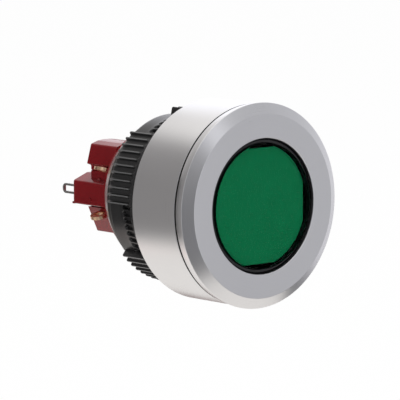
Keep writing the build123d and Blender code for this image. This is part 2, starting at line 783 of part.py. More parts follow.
def make_contact_spring(level):
    """Spring that pushes bridge and actuator forward."""
    with BuildPart() as spring:
        coil(0, stem_levels[level], contact_spring_radius, contact_spring_wire,
             contact_spring_turns, bridge_rear, chamber_rear)
    finish(spring.part, f"{level}_contact_spring")


def make_terminal(level, side, name):
    """Solder terminal: upright tab in the chamber, strip through the wall, tilted lug."""
    stem_z = stem_levels[level]
    bottom = strip_bottoms[level]
    lug_y = lug_places[level]
    tab_z = (min(bottom, stem_z - tab_half_height), stem_z + tab_half_height)
    tilt = outward[level] * lug_tilt
    with BuildPart() as terminal:
        block(sorted((side * tab_inner_x, side * tab_outer_x)),
              (tab_front, tab_front + terminal_thickness), tab_z)
        bend_x = core_half_width + terminal_thickness / 2
        bend_z = bottom + terminal_thickness / 2
        strip_front = lug_y - terminal_strip_width / 2
        strip_rear = lug_y + terminal_strip_width / 2
        block(sorted((side * strip_inner_x, side * bend_x)), (strip_front, strip_rear),
              (bottom, bottom + terminal_thickness))
        # rounded bend, from which the lug turns up or down
        rod(side * bend_x, bend_z, terminal_thickness / 2, strip_front, strip_rear)
        bend = Plane((side * bend_x, lug_y, bend_z), x_dir=(side, 0, 0), z_dir=(0, 0, 1))
        with BuildSketch(bend.rotated((0, -side * tilt, 0))) as lug:
            with Locations((lug_reach / 2, 0)):
                Rectangle(lug_reach, terminal_strip_width)
            with Locations((lug_reach, 0)):
                Circle(lug_radius)
                Circle(lug_hole_radius, mode=Mode.SUBTRACT)
            with Locations((-lug_radius / 2, 0)):
                Rectangle(lug_radius, 2 * lug_radius, mode=Mode.SUBTRACT)
        extrude(lug.sketch, amount=terminal_thickness / 2, both=True)
    finish(terminal.part, f"{level}_{name}_terminal")


for level in ("upper", "lower"):
    make_actuator(level)
    make_bridge(level)
    make_contact_pair(level, bridge_rear, moving_contact_rear, "moving_contacts")
    make_contact_pair(level, fixed_contact_front, tab_front, "fixed_contacts")
    make_contact_spring(level)
    make_terminal(level, -1, "left")
    make_terminal(level, 1, "right")

# ---------------------------------------------------------------- lamp
with BuildPart() as lamp_holder:
    ring_between(0, lamp_holder_radius, lamp_holder_front, block_wall_rear)
    ring_between(0, lamp_base_radius + running_gap, lamp_holder_front, lamp_base_rear, Mode.SUBTRACT)
    for side in (-1, 1):
        for x_range, y_range, z_range in lamp_strip_boxes(side):
            block(x_range, y_range, z_range, Mode.SUBTRACT)
finish(lamp_holder.part, "lamp_holder")

with BuildPart() as lamp_base:
    ring_between(0, lamp_base_radius, lamp_base_front, lamp_base_rear)
finish(lamp_base.part, "lamp_base")

# Domed light emitter.
with BuildPart() as lamp_dome:
    with BuildSketch() as half_dome:
        with BuildLine():
            Line((0, lamp_base_front), (lamp_dome_radius, lamp_base_front))
            Line((lamp_dome_radius, lamp_base_front), (lamp_dome_radius, lamp_dome_front + lamp_dome_radius))
            RadiusArc((lamp_dome_radius, lamp_dome_front + lamp_dome_radius),
                      (0, lamp_dome_front), lamp_dome_radius)
            Line((0, lamp_dome_front), (0, lamp_base_front))
        make_face()
    revolve(axis=Axis.Y)
finish(lamp_dome.part, "lamp_dome")


def make_lamp_terminal(side, name):
    """Strip from the lamp's rear to a slotted lug behind the block."""
    with BuildPart() as terminal:
        for x_range, y_range, z_range in lamp_strip_boxes(side):
            block(x_range, y_range, z_range)
        slot_half_height = lamp_strip_half_height - lamp_slot_rim
        slot_rear = lamp_lug_rear - lamp_slot_rim
        block(sorted((side * (lamp_lug_x - cut_past), side * (lamp_lug_x + cut_past))),
              (slot_rear - lamp_slot_length, slot_rear),
              (lamp_strip_z - slot_half_height, lamp_strip_z + slot_half_height), Mode.SUBTRACT)
        # rounded tip
        tip = terminal.edges().filter_by(Axis.X).group_by(Axis.Y)[-1]
        fillet(tip, lamp_strip_half_height - lamp_tip_flat)
    finish(terminal.part, f"{name}_lamp_terminal")


make_lamp_terminal(-1, "left")
make_lamp_terminal(1, "right")
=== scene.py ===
# %% [markdown]
# # A lit push button for a control panel
# The real object is a short metal cylinder with a green window, a threaded sleeve, a ribbed
# black nut and a small red switch at the back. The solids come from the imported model, in
# metres, with the axis along Y and the face towards -Y. This lesson dresses them: it makes
# the finishes, makes nine pieces again whose edges catch the light or which have to give
# way, and sets up a small studio.

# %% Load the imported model
import json
import math

import bmesh
import bpy
from mathutils import Matrix, Vector


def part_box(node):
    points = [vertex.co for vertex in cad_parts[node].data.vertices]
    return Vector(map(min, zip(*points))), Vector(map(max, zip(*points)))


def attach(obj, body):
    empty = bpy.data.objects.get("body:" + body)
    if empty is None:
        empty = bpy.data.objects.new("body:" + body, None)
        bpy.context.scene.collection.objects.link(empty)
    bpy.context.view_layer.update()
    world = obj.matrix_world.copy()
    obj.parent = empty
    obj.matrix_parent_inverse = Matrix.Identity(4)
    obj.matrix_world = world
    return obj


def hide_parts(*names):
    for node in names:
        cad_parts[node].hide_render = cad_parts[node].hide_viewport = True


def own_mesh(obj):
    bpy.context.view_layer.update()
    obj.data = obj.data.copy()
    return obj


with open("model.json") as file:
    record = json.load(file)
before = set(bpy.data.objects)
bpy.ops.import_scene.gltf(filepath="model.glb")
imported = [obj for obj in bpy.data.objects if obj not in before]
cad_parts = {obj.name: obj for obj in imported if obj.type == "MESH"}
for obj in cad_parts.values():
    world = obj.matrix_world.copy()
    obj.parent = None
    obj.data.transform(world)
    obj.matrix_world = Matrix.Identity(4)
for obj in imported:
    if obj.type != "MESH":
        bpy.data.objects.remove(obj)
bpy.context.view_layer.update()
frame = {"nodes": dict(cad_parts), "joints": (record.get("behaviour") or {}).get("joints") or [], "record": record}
nodes = frame["nodes"]

# %% [markdown]
# All lengths below are written in millimetres, as on a drawing, and turned into metres by
# one factor. A node's box gives the places of its faces, so that the pieces made here meet
# the ones that stay.

# %% Millimetres and the places of the faces
mm = 0.001


def limits(node):
    """Lowest and highest corner of a node, in millimetres."""
    low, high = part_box(node)
    return low / mm, high / mm


ring_low, ring_high = limits("front_ring")
body_high = limits("bezel_body")[1]
print("face at y", round(ring_low.y, 2), "and panel side at y", round(body_high.y, 2))

# %% [markdown]
# ## Camera
# A long lens far away keeps the circles of the button nearly true. The camera stands to the
# left of the axis and a little above it.

# %% Camera
scene = bpy.context.scene
scene.view_settings.view_transform = "Standard"

aim = Vector((0, ring_low.y, 0)) * mm
azimuth, elevation = math.radians(-42.456), math.radians(7.352)
distance = 501.4 * mm
towards = Vector((math.sin(azimuth) * math.cos(elevation),
                  -math.cos(azimuth) * math.cos(elevation), math.sin(elevation)))
turn, tip = math.radians(-41.391), math.radians(7.246)

camera = bpy.data.objects.new("camera", bpy.data.cameras.new("camera"))
camera.data.lens = 311.8
camera.data.sensor_width = 36
camera.data.clip_start = 0.01
camera.location = aim + towards * distance
camera.rotation_euler = (math.pi / 2 - tip, 0, turn)
scene.collection.objects.link(camera)
scene.camera = camera
print("camera at", [round(c / mm) for c in camera.location], "mm")

# %% [markdown]
# ## Finishes
# A finish is a small network of nodes. Written by hand each sum takes several lines, so one
# class wraps a socket and lets Python's own signs add the Math nodes: `1 - mask` is a
# subtraction, `grain * 0.2` a multiplication. Every other node comes from `add`.

# %% Sums on sockets
class Wire:
    """A node's output that takes part in sums and feeds other nodes."""

    def __init__(self, sheet, socket):
        self.sheet, self.socket = sheet, socket

    def sum(self, operation, first, second):
        return self.sheet.add("ShaderNodeMath", {"operation": operation}, {0: first, 1: second})

    def __add__(self, other):
        return self.sum("ADD", self, other)

    def __sub__(self, other):
        return self.sum("SUBTRACT", self, other)

    def __rsub__(self, other):
        return self.sum("SUBTRACT", other, self)

    def __mul__(self, other):
        return self.sum("MULTIPLY", self, other)

    def __pow__(self, other):
        return self.sum("POWER", self, other)

    def __gt__(self, other):
        return self.sum("GREATER_THAN", self, other)

    __radd__ = __add__
    __rmul__ = __mul__

    def output(self, name):
        """Another output of the same node."""
        return Wire(self.sheet, self.socket.node.outputs[name])


# %% A sheet of nodes
class Sheet:
    """The nodes of one finish."""

    def __init__(self, tree):
        self.tree = tree
        tree.nodes.clear()

    def add(self, kind, settings=None, sockets=None):
        """A node with its settings, then the values or wires of its sockets."""
        node = self.tree.nodes.new(kind)
        for name, value in (settings or {}).items():
            if name == "stops":
                set_stops(node.color_ramp, value)
            else:
                setattr(node, name, value)
        for name, value in (sockets or {}).items():
            if isinstance(value, Wire):
                self.tree.links.new(value.socket, node.inputs[name])
            else:
                node.inputs[name].default_value = value
        return Wire(self, node.outputs[0]) if node.outputs else node


def set_stops(ramp, stops):
    """Give a colour ramp its stops, as (place, colour) pairs."""
    while len(ramp.elements) < len(stops):
        ramp.elements.new(1)
    for element, (place, colour) in zip(ramp.elements, stops):
        element.position = place
        element.color = (*colour, 1)


# %% [markdown]
# Grain, turning lines and moulding marks are patterns of the solid itself, so they are
# measured in the object's own frame, in millimetres. Noise of a chosen grain size serves most
# of them. The bump node turns a pattern into dents of a given depth.

# %% Places in millimetres
def place(sheet):
    """Position on the object, in millimetres."""
    metres = sheet.add("ShaderNodeTexCoord").output("Object")
    return sheet.add("ShaderNodeVectorMath", {"operation": "SCALE"}, {0: metres, "Scale": 1 / mm})


def split(sheet, where):
    """The x, y and z of a place."""
    x = sheet.add("ShaderNodeSeparateXYZ", None, {0: where})
    return x, x.output("Y"), x.output("Z")


def distance_from_axis(x, z):
    """How far a place is from the button's axis."""
    return (x * x + z * z) ** 0.5


# %% Patterns
def noise(sheet, where, size, detail=2.0, roughness=0.5):
    """Cloudy pattern from 0 to 1 with features of about that size."""
    return sheet.add("ShaderNodeTexNoise", None, {
        "Vector": where, "Scale": 1 / size, "Detail": detail, "Roughness": roughness})


def along(sheet, measure, size, detail=2.0):
    """Pattern that varies only with one measure, such as the distance from the axis."""
    return sheet.add("ShaderNodeTexNoise", {"noise_dimensions": "1D"}, {
        "W": measure, "Scale": 1 / size, "Detail": detail})


def mix_colour(sheet, dark, light, amount):
    """Colour mix whose ends are colours or wires."""
    ends = [end if isinstance(end, Wire) else (*end, 1) for end in (dark, light)]
    mixed = sheet.add("ShaderNodeMix", {"data_type": "RGBA"}, {0: amount, 6: ends[0], 7: ends[1]})
    return Wire(sheet, mixed.socket.node.outputs[2])


def dents(sheet, height, depth, before=None):
    """Normal of a surface with that height pattern, depth in millimetres."""
    sockets = {"Height": height, "Strength": 1.0, "Distance": depth * mm}
    if before:
        sockets["Normal"] = before
    return sheet.add("ShaderNodeBump", None, sockets)


# %% Base of every finish
def finish(name, make, **constants):
    """A material whose varying sockets come from make and whose constants are set directly."""
    material = bpy.data.materials.new(name)
    material.use_nodes = True
    sheet = Sheet(material.node_tree)
    surface = sheet.add("ShaderNodeBsdfPrincipled", None, make(sheet))
    for socket, value in constants.items():
        surface.socket.node.inputs[socket.replace("_", " ")].default_value = value
    sheet.add("ShaderNodeOutputMaterial", None, {"Surface": surface})
    print("finish", name, "with", len(material.node_tree.nodes), "nodes")
    return material


# %% [markdown]
# ### Turned aluminium
# The ring and the bezel's body are turned on a lathe, so their fine lines run round the axis:
# on the face they are circles, on the side they are hoops. A pattern of radius plus y draws
# both. Handling leaves faint cloudy patches in the shine. The sleeve has the same finish in
# a warmer tone, and its thread is painted dark as shade up to the smooth end.

# %% Turned aluminium
# Painted shade: the dark colour of the thread in front of the sleeve's smooth end.
thread_shade_colour = (0.13, 0.125, 0.12)
taper_length = 2.2      # smooth end of the sleeve, behind the thread


def turned_metal(light, dark, shine, line_depth, shaded_before=None):
    """Sockets of a lathe-turned metal between two colours, painted dark as shade in front of one place."""
    def make(sheet):
        where = place(sheet)
        x, y, z = split(sheet, where)
        radius = distance_from_axis(x, z)
        lines = along(sheet, radius + y, 0.12, 3.0)
        fine = along(sheet, radius * 1.3 + y * 1.3, 0.03, 2.0)
        clouds = noise(sheet, where, 6.0, 3.0)
        colour = mix_colour(sheet, dark, light, clouds * 0.5 + lines * 0.5)
        rough = shine + clouds * 0.06 + fine * 0.05
        if shaded_before is not None:
            # Painted shade: the thread in front of that place is darkened.
            thread_shade = sheet.add("ShaderNodeMapRange", None, {
                "Value": y, "From Min": shaded_before + 0.1, "From Max": shaded_before - 0.1})
            colour = mix_colour(sheet, colour, thread_shade_colour, thread_shade)
            rough = rough + thread_shade * 0.12
        return {
            "Base Color": colour,
            "Metallic": 1.0,
            "Roughness": rough,
            "Normal": dents(sheet, lines * 0.7 + fine * 0.3, line_depth),
        }
    return make


turned_aluminium = finish("turned_aluminium",
                          turned_metal((0.83, 0.83, 0.835), (0.76, 0.76, 0.77), 0.24, 0.002))
sleeve_metal = finish("sleeve_metal",
                      turned_metal((0.74, 0.71, 0.70), (0.64, 0.61, 0.60), 0.24, 0.002,
                                   shaded_before=limits("threaded_sleeve")[1].y - taper_length))


# %% [markdown]
# The groove between ring and body is painted dark and dull, as the shade inside it.

# %% Groove painted as shade
def groove_metal(sheet):
    """Sockets of a dull cut, painted dark as shade."""
    cut = noise(sheet, place(sheet), 0.3, 3.0)
    return {"Base Color": mix_colour(sheet, (0.02, 0.02, 0.02), (0.05, 0.05, 0.05), cut),
            "Metallic": 0.3, "Roughness": 0.6 + cut * 0.2}


groove_shade = finish("groove_shade", groove_metal)


# %% [markdown]
# ### Mouldings
# Moulded plastic has a fine spark-eroded grain, and its colour clouds a little where the
# melt flowed. Rubber is the same with a coarser grain and less shine. The crests of the nut's
# ribs are painted pale as a highlight, which a mask of the radius gives.

# %% Mouldings
def moulding(light, dark, shine, grain_size, grain_depth, highlighted=None):
    """Sockets of a moulded surface between two colours, painted pale as a highlight beyond one radius."""
    def make(sheet):
        where = place(sheet)
        flow = noise(sheet, where, 3.0, 3.0)
        grain = noise(sheet, where, grain_size, 2.0)
        colour = mix_colour(sheet, dark, light, flow)
        if highlighted:
            from_radius, to_radius, pale = highlighted
            x, _, z = split(sheet, where)
            # Painted highlight: the crests beyond one radius are mixed towards the pale colour.
            highlight_mask = sheet.add("ShaderNodeMapRange", None, {
                "Value": distance_from_axis(x, z),
                "From Min": from_radius, "From Max": to_radius})
            colour = mix_colour(sheet, colour, pale, highlight_mask * (0.7 + flow * 0.5))
        return {
            "Base Color": colour,
            "Roughness": shine + grain * 0.12,
            "Normal": dents(sheet, grain, grain_depth),
        }
    return make


# %% Black mouldings
# Radii and colour of the painted highlight on the nut's crests.
crest_highlight = (12.96, 13.03, (0.13, 0.13, 0.13))
black_nylon = finish("black_nylon", moulding((0.020, 0.021, 0.023), (0.011, 0.011, 0.012),
                                             0.36, 0.12, 0.01))
nut_nylon = finish("nut_nylon", moulding((0.018, 0.018, 0.019), (0.010, 0.010, 0.010),
                                         0.24, 0.12, 0.004, highlighted=crest_highlight),
                   Specular_IOR_Level=0.6)
rubber = finish("rubber", moulding((0.02, 0.02, 0.021), (0.012, 0.012, 0.012), 0.62, 0.16, 0.015))

# %% Coloured and white mouldings
red_phenolic = finish("red_phenolic", moulding((0.245, 0.010, 0.014), (0.185, 0.007, 0.010),
                                               0.12, 0.25, 0.004))
white_nylon = finish("white_nylon", moulding((0.72, 0.71, 0.67), (0.62, 0.61, 0.57),
                                             0.4, 0.15, 0.006))
green_plate = finish("green_plate", moulding((0.003, 0.165, 0.064), (0.002, 0.15, 0.058),
                                             0.5, 0.3, 0.0005), Specular_IOR_Level=0.03)
# Painted shade: the clear rim and legs in the dark gap are coloured nearly black.
gap_shade_green = finish("gap_shade_green", moulding((0.002, 0.012, 0.008), (0.001, 0.005, 0.004),
                                               0.35, 0.3, 0.001), Specular_IOR_Level=0.15)


# %% [markdown]
# ### Strip and wire
# Terminals are stamped from strip, then gilt or tinned. The rolling leaves long faint
# streaks, and the plating is a little uneven. An image could draw the streaks, but it would
# need unwrapping, so noise that is stretched along Y draws them.

# %% Strip and wire
def plated(light, dark, shine):
    """Sockets of a plated metal between two colours."""
    def make(sheet):
        where = place(sheet)
        stretched = sheet.add("ShaderNodeMapping", None, {"Vector": where, "Scale": (1, 0.15, 1)})
        streaks = noise(sheet, stretched, 0.15, 3.0)
        patches = noise(sheet, where, 0.8, 3.0)
        return {
            "Base Color": mix_colour(sheet, dark, light, patches),
            "Metallic": 1.0,
            "Roughness": shine + streaks * 0.18,
            "Normal": dents(sheet, streaks, 0.004),
        }
    return make


gold_strip = finish("gold_strip", plated((1.0, 0.72, 0.50), (0.90, 0.58, 0.36), 0.2))
tinned_strip = finish("tinned_strip", plated((0.72, 0.71, 0.69), (0.55, 0.54, 0.52), 0.28))
silver = finish("silver", plated((0.93, 0.92, 0.9), (0.8, 0.79, 0.77), 0.2))
brass = finish("brass", plated((0.85, 0.62, 0.30), (0.7, 0.5, 0.22), 0.25))
spring_steel = finish("spring_steel", plated((0.6, 0.6, 0.6), (0.45, 0.45, 0.46), 0.2))


# %% [markdown]
# ### Clear lens
# The window is clear plastic, a little green from the plate behind it. It is one smooth
# moulding, so only a very slight waviness disturbs its shine. Real plastic refracts more,
# but a low index keeps the reflections of the studio off the green.

# %% Clear lens
def clear_plastic(colour):
    """Sockets of a clear moulding."""
    def make(sheet):
        where = place(sheet)
        waves = noise(sheet, where, 4.0, 1.0)
        return {
            "Base Color": mix_colour(sheet, colour, (0.97, 0.99, 0.975), waves),
            "Roughness": 0.02 + waves * 0.02,
            "Normal": dents(sheet, waves, 0.004),
        }
    return make


clear_lens = finish("clear_lens", clear_plastic((0.95, 0.99, 0.96)),
                    Transmission_Weight=1.0, IOR=1.06)
lamp_glass = finish("lamp_glass", clear_plastic((0.9, 0.95, 0.9)),
                    Transmission_Weight=0.8, IOR=1.45)

# %% [markdown]
# ## Finishes on the nodes that stay
# Each node names its finish in the record's slots. A table of slots and finishes dresses
# every node at once, also the ones inside, which show when the button is taken apart.

# %% Dress the nodes
slot_finish = {
    "aluminium": turned_aluminium, "sleeve_metal": sleeve_metal, "rubber": rubber,
    "black_plastic": black_nylon, "clear_lens": clear_lens, "green_plate": green_plate,
    "white_plastic": white_nylon, "spring_steel": spring_steel, "red_moulding": red_phenolic,
    "brass": brass, "lamp_glass": lamp_glass, "tinned_strip": tinned_strip,
    "gold_strip": gold_strip, "silver": silver,
}
for part in frame["record"]["subparts"]:
    mesh = nodes[part["node"]].data
    mesh.materials.clear()
    mesh.materials.append(slot_finish[part["material_slot"]])
print("dressed", len(nodes), "nodes")

# %% [markdown]
# ## Turned pieces
# A lathe makes a piece by turning an outline about the axis. Sharp corners catch no light,
# so each corner of the outline gets a small arc, and the weighted normals keep the flats flat.

# %% Rounded outlines
def rounded(corners, steps=4):
    """Points of a closed outline; each corner is (radius, y) or (radius, y, rounding)."""
    points = []
    for i, corner in enumerate(corners):
        here = Vector(corner[:2])
        if len(corner) < 3:
            points.append(here)
            continue
        before = Vector(corners[i - 1][:2]) - here
        after = Vector(corners[(i + 1) % len(corners)][:2]) - here
        half = before.angle(after) / 2
        reach = corner[2] / math.tan(half)
        start, end = here + before.normalized() * reach, here + after.normalized() * reach
        centre = here + (before.normalized() + after.normalized()).normalized() \
            * corner[2] / math.sin(half)
        for step in range(steps + 1):
            spoke = (start - centre).lerp(end - centre, step / steps)
            points.append(centre + spoke.normalized() * corner[2])
    return points


# %% Meshes from rings of points
sharp_angle = math.radians(60)


def join_rings(made, rings):
    """Faces between each ring of points and the next."""
    for ring, following in zip(rings, rings[1:]):
        for i in range(len(ring)):
            made.faces.new((ring[i - 1], ring[i], following[i], following[i - 1]))


def closed_mesh(name, made):
    """Mesh of a closed body that faces outwards and keeps its sharp edges."""
    bmesh.ops.recalc_face_normals(made, faces=made.faces)
    mesh = bpy.data.meshes.new(name)
    made.to_mesh(mesh)
    made.free()
    mesh.set_sharp_from_angle(angle=sharp_angle)
    return mesh


# %% The lathe
def link(name, mesh, material):
    """New object from a mesh, with smooth faces whose flats stay flat."""
    mesh.materials.append(material)
    piece = bpy.data.objects.new(name, mesh)
    scene.collection.objects.link(piece)
    for face in mesh.polygons:
        face.use_smooth = True
    flats = piece.modifiers.new("flats", "WEIGHTED_NORMAL")
    flats.keep_sharp = True
    return piece


def wind(name, outline_at, material, turns=256):
    """Turn a closed outline about the Y axis; outline_at gives it after part of a turn."""
    made = bmesh.new()
    rings = []
    for turn_number in range(turns):
        angle = 2 * math.pi * turn_number / turns
        rings.append([made.verts.new((r * mm * math.cos(angle), y * mm, r * mm * math.sin(angle)))
                      for r, y in outline_at(turn_number / turns)])
    join_rings(made, rings + rings[:1])
    mesh = closed_mesh(name, made)
    print("turned", name, "with", len(mesh.polygons), "faces")
    return link(name, mesh, material)


def lathe(name, corners, material):
    """Turn a closed outline that is the same all the way round."""
    outline = rounded(corners)
    return wind(name, lambda part_of_turn: outline, material)


# %% [markdown]
# ### Front ring and bezel body
# The ring has a flat face, a wide bevel and a short side. The body behind it starts with a
# fine groove, whose walls are painted dark as shade so that it shows as a dark line, and it
# ends on the panel. A bevel modifier would round all corners of the solids alike; a new
# outline gives each corner its own arc.

# %% Front ring
face_y, ring_radius, hole_radius = ring_low.y, ring_high.x, 9.9
flat_radius, bevel_length = 13.43, 0.96
skirt_radius, skirt_bore = 13.4, 12.4       # the hidden tube that is screwed into the body
body_radius = body_high.x
ring_side_rear = -9.66
front_ring = lathe("front_ring_turned", [
    (hole_radius, face_y, 0.16), (flat_radius, face_y, 0.12),
    (ring_radius, face_y + bevel_length, 0.12), (body_radius + 0.04, ring_side_rear, 0.05),
    (skirt_radius, ring_side_rear), (skirt_radius, ring_high.y),
    (skirt_bore, ring_high.y), (skirt_bore, ring_side_rear), (hole_radius, ring_side_rear),
], turned_aluminium)
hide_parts("front_ring")
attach(front_ring, "housing")

# %% Bezel body
groove_width, groove_depth = 0.4, 0.45
groove_rear = ring_side_rear + groove_width
skirt_seat, seat_rear = 13.42, -5.4         # where the ring's skirt is screwed in
gasket_recess, recess_floor = 13.15, -0.5
sleeve_hole = 11.05
body = lathe("bezel_body_turned", [
    (skirt_seat, ring_side_rear), (body_radius - groove_depth, ring_side_rear),
    (body_radius - groove_depth, groove_rear), (body_radius, groove_rear, 0.05),
    (body_radius, 0, 0.15), (gasket_recess, 0), (gasket_recess, recess_floor),
    (sleeve_hole, recess_floor), (sleeve_hole, seat_rear), (skirt_seat, seat_rear),
], turned_aluminium)
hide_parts("bezel_body")
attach(body, "housing")

# %% The walls of the groove
# The groove's walls get the painted shade.
body.data.materials.append(groove_shade)
for face in body.data.polygons:
    middle = face.center / mm
    if middle.y < groove_rear + 0.01 and math.hypot(middle.x, middle.z) < body_radius - 0.1:
        face.material_index = 1
print("dark faces", sum(face.material_index for face in body.data.polygons))

# %% [markdown]
# ### Threaded sleeve
# The thread is one groove that winds round the sleeve. A screw modifier would make a coil
# that still has to be joined to the tube, so the outline changes as the lathe turns: at each
# place the radius follows from how far the winding has come. The groove runs out gently at
# both ends, and the sleeve's end tapers, which leads the nut on.

# %% The winding groove
sleeve_low, sleeve_high = limits("threaded_sleeve")
thread_radius, thread_depth, thread_pitch, thread_crest = 11.0, 0.55, 1.0, 0.4
thread_start, thread_stop, run_out = 1.4, 9.8, 0.6


def thread_at(y, part_of_turn):
    """Radius of the sleeve's outside at y, after that part of a turn."""
    flank = (thread_pitch - thread_crest) / 2
    into_pitch = (y - thread_start - part_of_turn * thread_pitch) % thread_pitch
    cut = max(0, 1 - abs(into_pitch - flank) / flank)
    fade = min(1, max(0, min(y - thread_start, thread_stop - y) / run_out))
    return thread_radius - thread_depth * cut * fade


# %% Sizes of the sleeve
flange_radius, flange_rear = 12.9, sleeve_low.y + 2.0
lead_in_length, lead_in_height, end_land = 2.1, 1.35, 0.03
front_bore, front_bore_rear = 9.95, -4.1    # takes the button
guide_bore, guide_bore_rear = 8.5, 2.5      # guides the button's tube
rear_bore = 9.3                             # takes the switch block
broken_edge, level_step = 0.05, 0.1
level_count = round((sleeve_high.y - lead_in_length - thread_start) / level_step) + 1
print("the thread is drawn at", level_count, "levels")


# %% Threaded sleeve
def sleeve_outline(part_of_turn):
    """Closed outline of the sleeve: bore, flange and the thread as it stands there."""
    end_radius = thread_radius - lead_in_height
    levels = [thread_start + level_step * i for i in range(level_count)]
    return [(front_bore, sleeve_low.y), (flange_radius - broken_edge, sleeve_low.y),
            (flange_radius, sleeve_low.y + broken_edge), (flange_radius, flange_rear),
            (thread_radius, flange_rear), *[(thread_at(y, part_of_turn), y) for y in levels],
            (end_radius, sleeve_high.y - end_land), (end_radius - broken_edge, sleeve_high.y),
            (rear_bore + broken_edge, sleeve_high.y), (rear_bore, sleeve_high.y - broken_edge),
            (rear_bore, guide_bore_rear), (guide_bore, guide_bore_rear),
            (guide_bore, front_bore_rear), (front_bore, front_bore_rear)]


sleeve = wind("sleeve_threaded", sleeve_outline, sleeve_metal, turns=240)
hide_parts("threaded_sleeve")
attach(sleeve, "housing")

# %% [markdown]
# ### Green plate
# A thin plate behind the clear window gives the colour. It is round with four flats, and its
# edge is softened, so that a fine line of light runs round it. Flats can't be turned, so the
# plate is a stack of outlines, and those at its edges are drawn in.

# %% Outline of the plate
plate_low, plate_high = limits("colour_plate")
plate_radius, plate_flat = 8.95, plate_high.x
disc_rear = plate_low.y - 0.2               # rear face of the window's disc
behind_lens = 0.03


def plate_outline(inset, steps=28):
    """Round outline with four flats, drawn in by the inset."""
    radius, flat = plate_radius - inset, plate_flat - inset
    corner = math.acos(flat / radius)
    points = []
    for quarter in range(4):
        for step in range(steps + 1):
            angle = quarter * math.pi / 2 + corner \
                + (math.pi / 2 - 2 * corner) * step / steps
            points.append((radius * math.cos(angle), radius * math.sin(angle)))
    return points


# %% Green plate
def plate(name, outline_at, levels, material):
    """Plate across Y from stacked outlines: levels are (y, inset) pairs from front to rear."""
    made = bmesh.new()
    rings = [[made.verts.new((x * mm, y * mm, z * mm)) for x, z in outline_at(inset)]
             for y, inset in levels]
    join_rings(made, rings)
    made.faces.new(rings[0])
    made.faces.new(rings[-1])
    mesh = closed_mesh(name, made)
    print("made", name, "with", len(mesh.polygons), "faces")
    return link(name, mesh, material)


front, rear = disc_rear + behind_lens, plate_high.y
green = plate("green_plate", plate_outline, [
    (front, 0.1), (front + 0.03, 0.03), (front + 0.1, 0), (rear - 0.05, 0), (rear, 0.05),
], green_plate)
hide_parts("colour_plate")
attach(green, "button")

# %% [markdown]
# ### Window
# The window is a clear disc with four legs that hold it in the button. Its rim and legs
# stand in the dark gap round the plate, so they are painted nearly black as shade, with a
# trace of green. The disc is turned and the legs are added to its mesh, so that one piece
# can carry both materials.

# %% Disc of the window
lens_low, lens_high = limits("lens_cap")
lens_edge, lens_middle = 0.12, 0.001
window = lathe("window", [
    (lens_middle, lens_low.y), (lens_high.x, lens_low.y, lens_edge), (lens_high.x, disc_rear),
    (lens_middle, disc_rear)], clear_lens)

# %% Legs of the window
legs = bmesh.new()
legs.from_mesh(window.data)
leg_outer, leg_inner, leg_half_width, arc_steps = 9.15, 8.55, 2.7, 12
leg_reach = math.asin(leg_half_width / leg_outer)
arc_angles = [leg_reach * (2 * i / arc_steps - 1) for i in range(arc_steps + 1)]
for quarter in range(4):
    turned = Matrix.Rotation(quarter * math.pi / 2, 4, "Y")
    arc = [Vector((leg_outer * math.cos(a), 0, leg_outer * math.sin(a))) for a in arc_angles]
    inside = [Vector((leg_inner, 0, leg_half_width)), Vector((leg_inner, 0, -leg_half_width))]
    ends = [[legs.verts.new(turned @ (point + Vector((0, y, 0))) * mm) for point in arc + inside]
            for y in (disc_rear, lens_high.y)]
    join_rings(legs, ends)
    legs.faces.new(ends[1])
    legs.faces.new(ends[0])
bmesh.ops.recalc_face_normals(legs, faces=legs.faces)
legs.to_mesh(window.data)
legs.free()
print("the window has", len(window.data.polygons), "faces with its legs")

# %% Dark rim and legs
# The rim and legs get the painted shade.
window.data.materials.append(gap_shade_green)
near = 0.01     # how far from a face counts as beyond it
for face in window.data.polygons:
    middle = face.center / mm
    outside = math.hypot(middle.x, middle.z) > lens_high.x - 2 * near
    on_rim = outside and middle.y > lens_low.y + lens_edge + near
    if on_rim or middle.y > disc_rear + near:
        face.material_index = 1
print("rim and leg faces", sum(face.material_index for face in window.data.polygons))
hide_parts("lens_cap")
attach(window, "button")

# %% [markdown]
# ### Lock nut
# The nut is moulded: thin ribs with wide channels between them give the fingers a grip. Four
# raised lobes carry long ribs, and between the lobes the nut slopes down to a smooth band,
# with a row of short pockets. The channels end round, as the mould's cutter leaves them. The
# solid has straight ribs. Cutting so many channels out of it would leave ragged edges, so the
# nut is wound again as a fine grid, pushed in by the channels' depth.

# %% Sizes of the nut
nut_low, nut_high = limits("lock_nut")
nut_bore, nut_body, nut_collar, nut_tip = 11.05, 11.95, 12.95, 13.04    # radii
rib_count, ribs_per_lobe, lobes = 72, 11, 4
rib_pitch, lobe_step, first_lobe = 360 / rib_count, 360 / lobes, 65.5   # degrees
outer_flank = 1.1                                                       # degrees
lobe_half = rib_pitch * (ribs_per_lobe - 1) / 2 + outer_flank
rib_front, rib_end, rib_round = nut_low.y + 1.3, nut_high.y - 0.65, 0.35
slope_front, slope_end, band_front, band_rise = 0.8, 1.45, 4.4, 0.25
channel = {"front": nut_low.y + 0.85, "rear": nut_high.y + 2, "half": 0.49, "flank": 0.16,
           "depth": 0.46}
pocket = {"front": nut_low.y + 1.15, "rear": nut_low.y + 3.8, "half": 0.43, "flank": 0.11,
          "depth": 0.45}
print("a rib every", rib_pitch, "degrees, and", ribs_per_lobe, "on each lobe")


# %% Depth of a channel or a pocket
def cut_depth(slot, across, y):
    """Depth at a place in a slot with round ends and eased flanks."""
    past = max(slot["front"] + slot["half"] - y, y - slot["rear"] + slot["half"], 0)
    inside = (slot["half"] - math.hypot(across, past)) / slot["flank"]
    eased = min(1, max(0, inside))
    return slot["depth"] * eased * eased * (3 - 2 * eased)


def share(y, start, stop):
    """How far y is along a stretch behind the nut's front, from 0 to 1."""
    return min(1, max(0, (y - nut_low.y - start) / (stop - start)))


